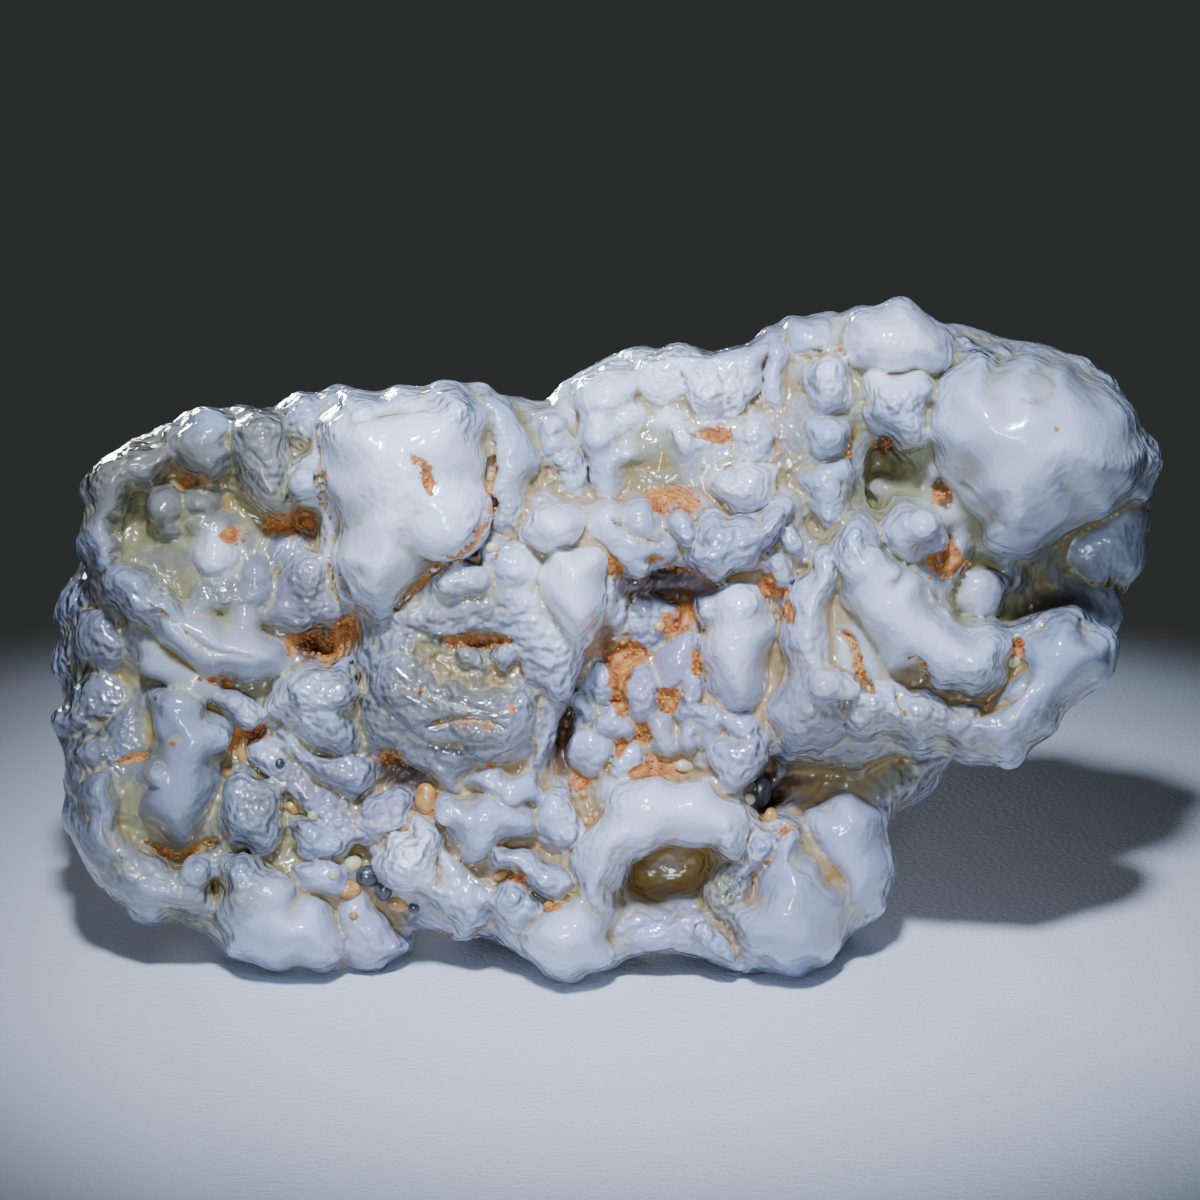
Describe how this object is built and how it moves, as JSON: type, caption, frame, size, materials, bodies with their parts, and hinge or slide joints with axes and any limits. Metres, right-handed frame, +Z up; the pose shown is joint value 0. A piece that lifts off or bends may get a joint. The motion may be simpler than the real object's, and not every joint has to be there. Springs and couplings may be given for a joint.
{
  "type": "agate specimen",
  "caption": "Knobbly natural agate specimen: one milky chalcedony lump with rounded lobes, folds, deep crevices and an overhanging end, resting on its lowest knobs.",
  "frame": {"origin": "middle of the stone's box, at its resting face", "axes": "+X along the longest side, towards the overhanging end; -Y towards the viewer; +Z up"},
  "size_m": [0.0762, 0.0348, 0.045],
  "materials": {
    "agate": "waxy, translucent milky stone with orange clay in the cracks"
  },
  "bodies": {
    "root": {"agate": "agate"}
  },
  "joints": []
}
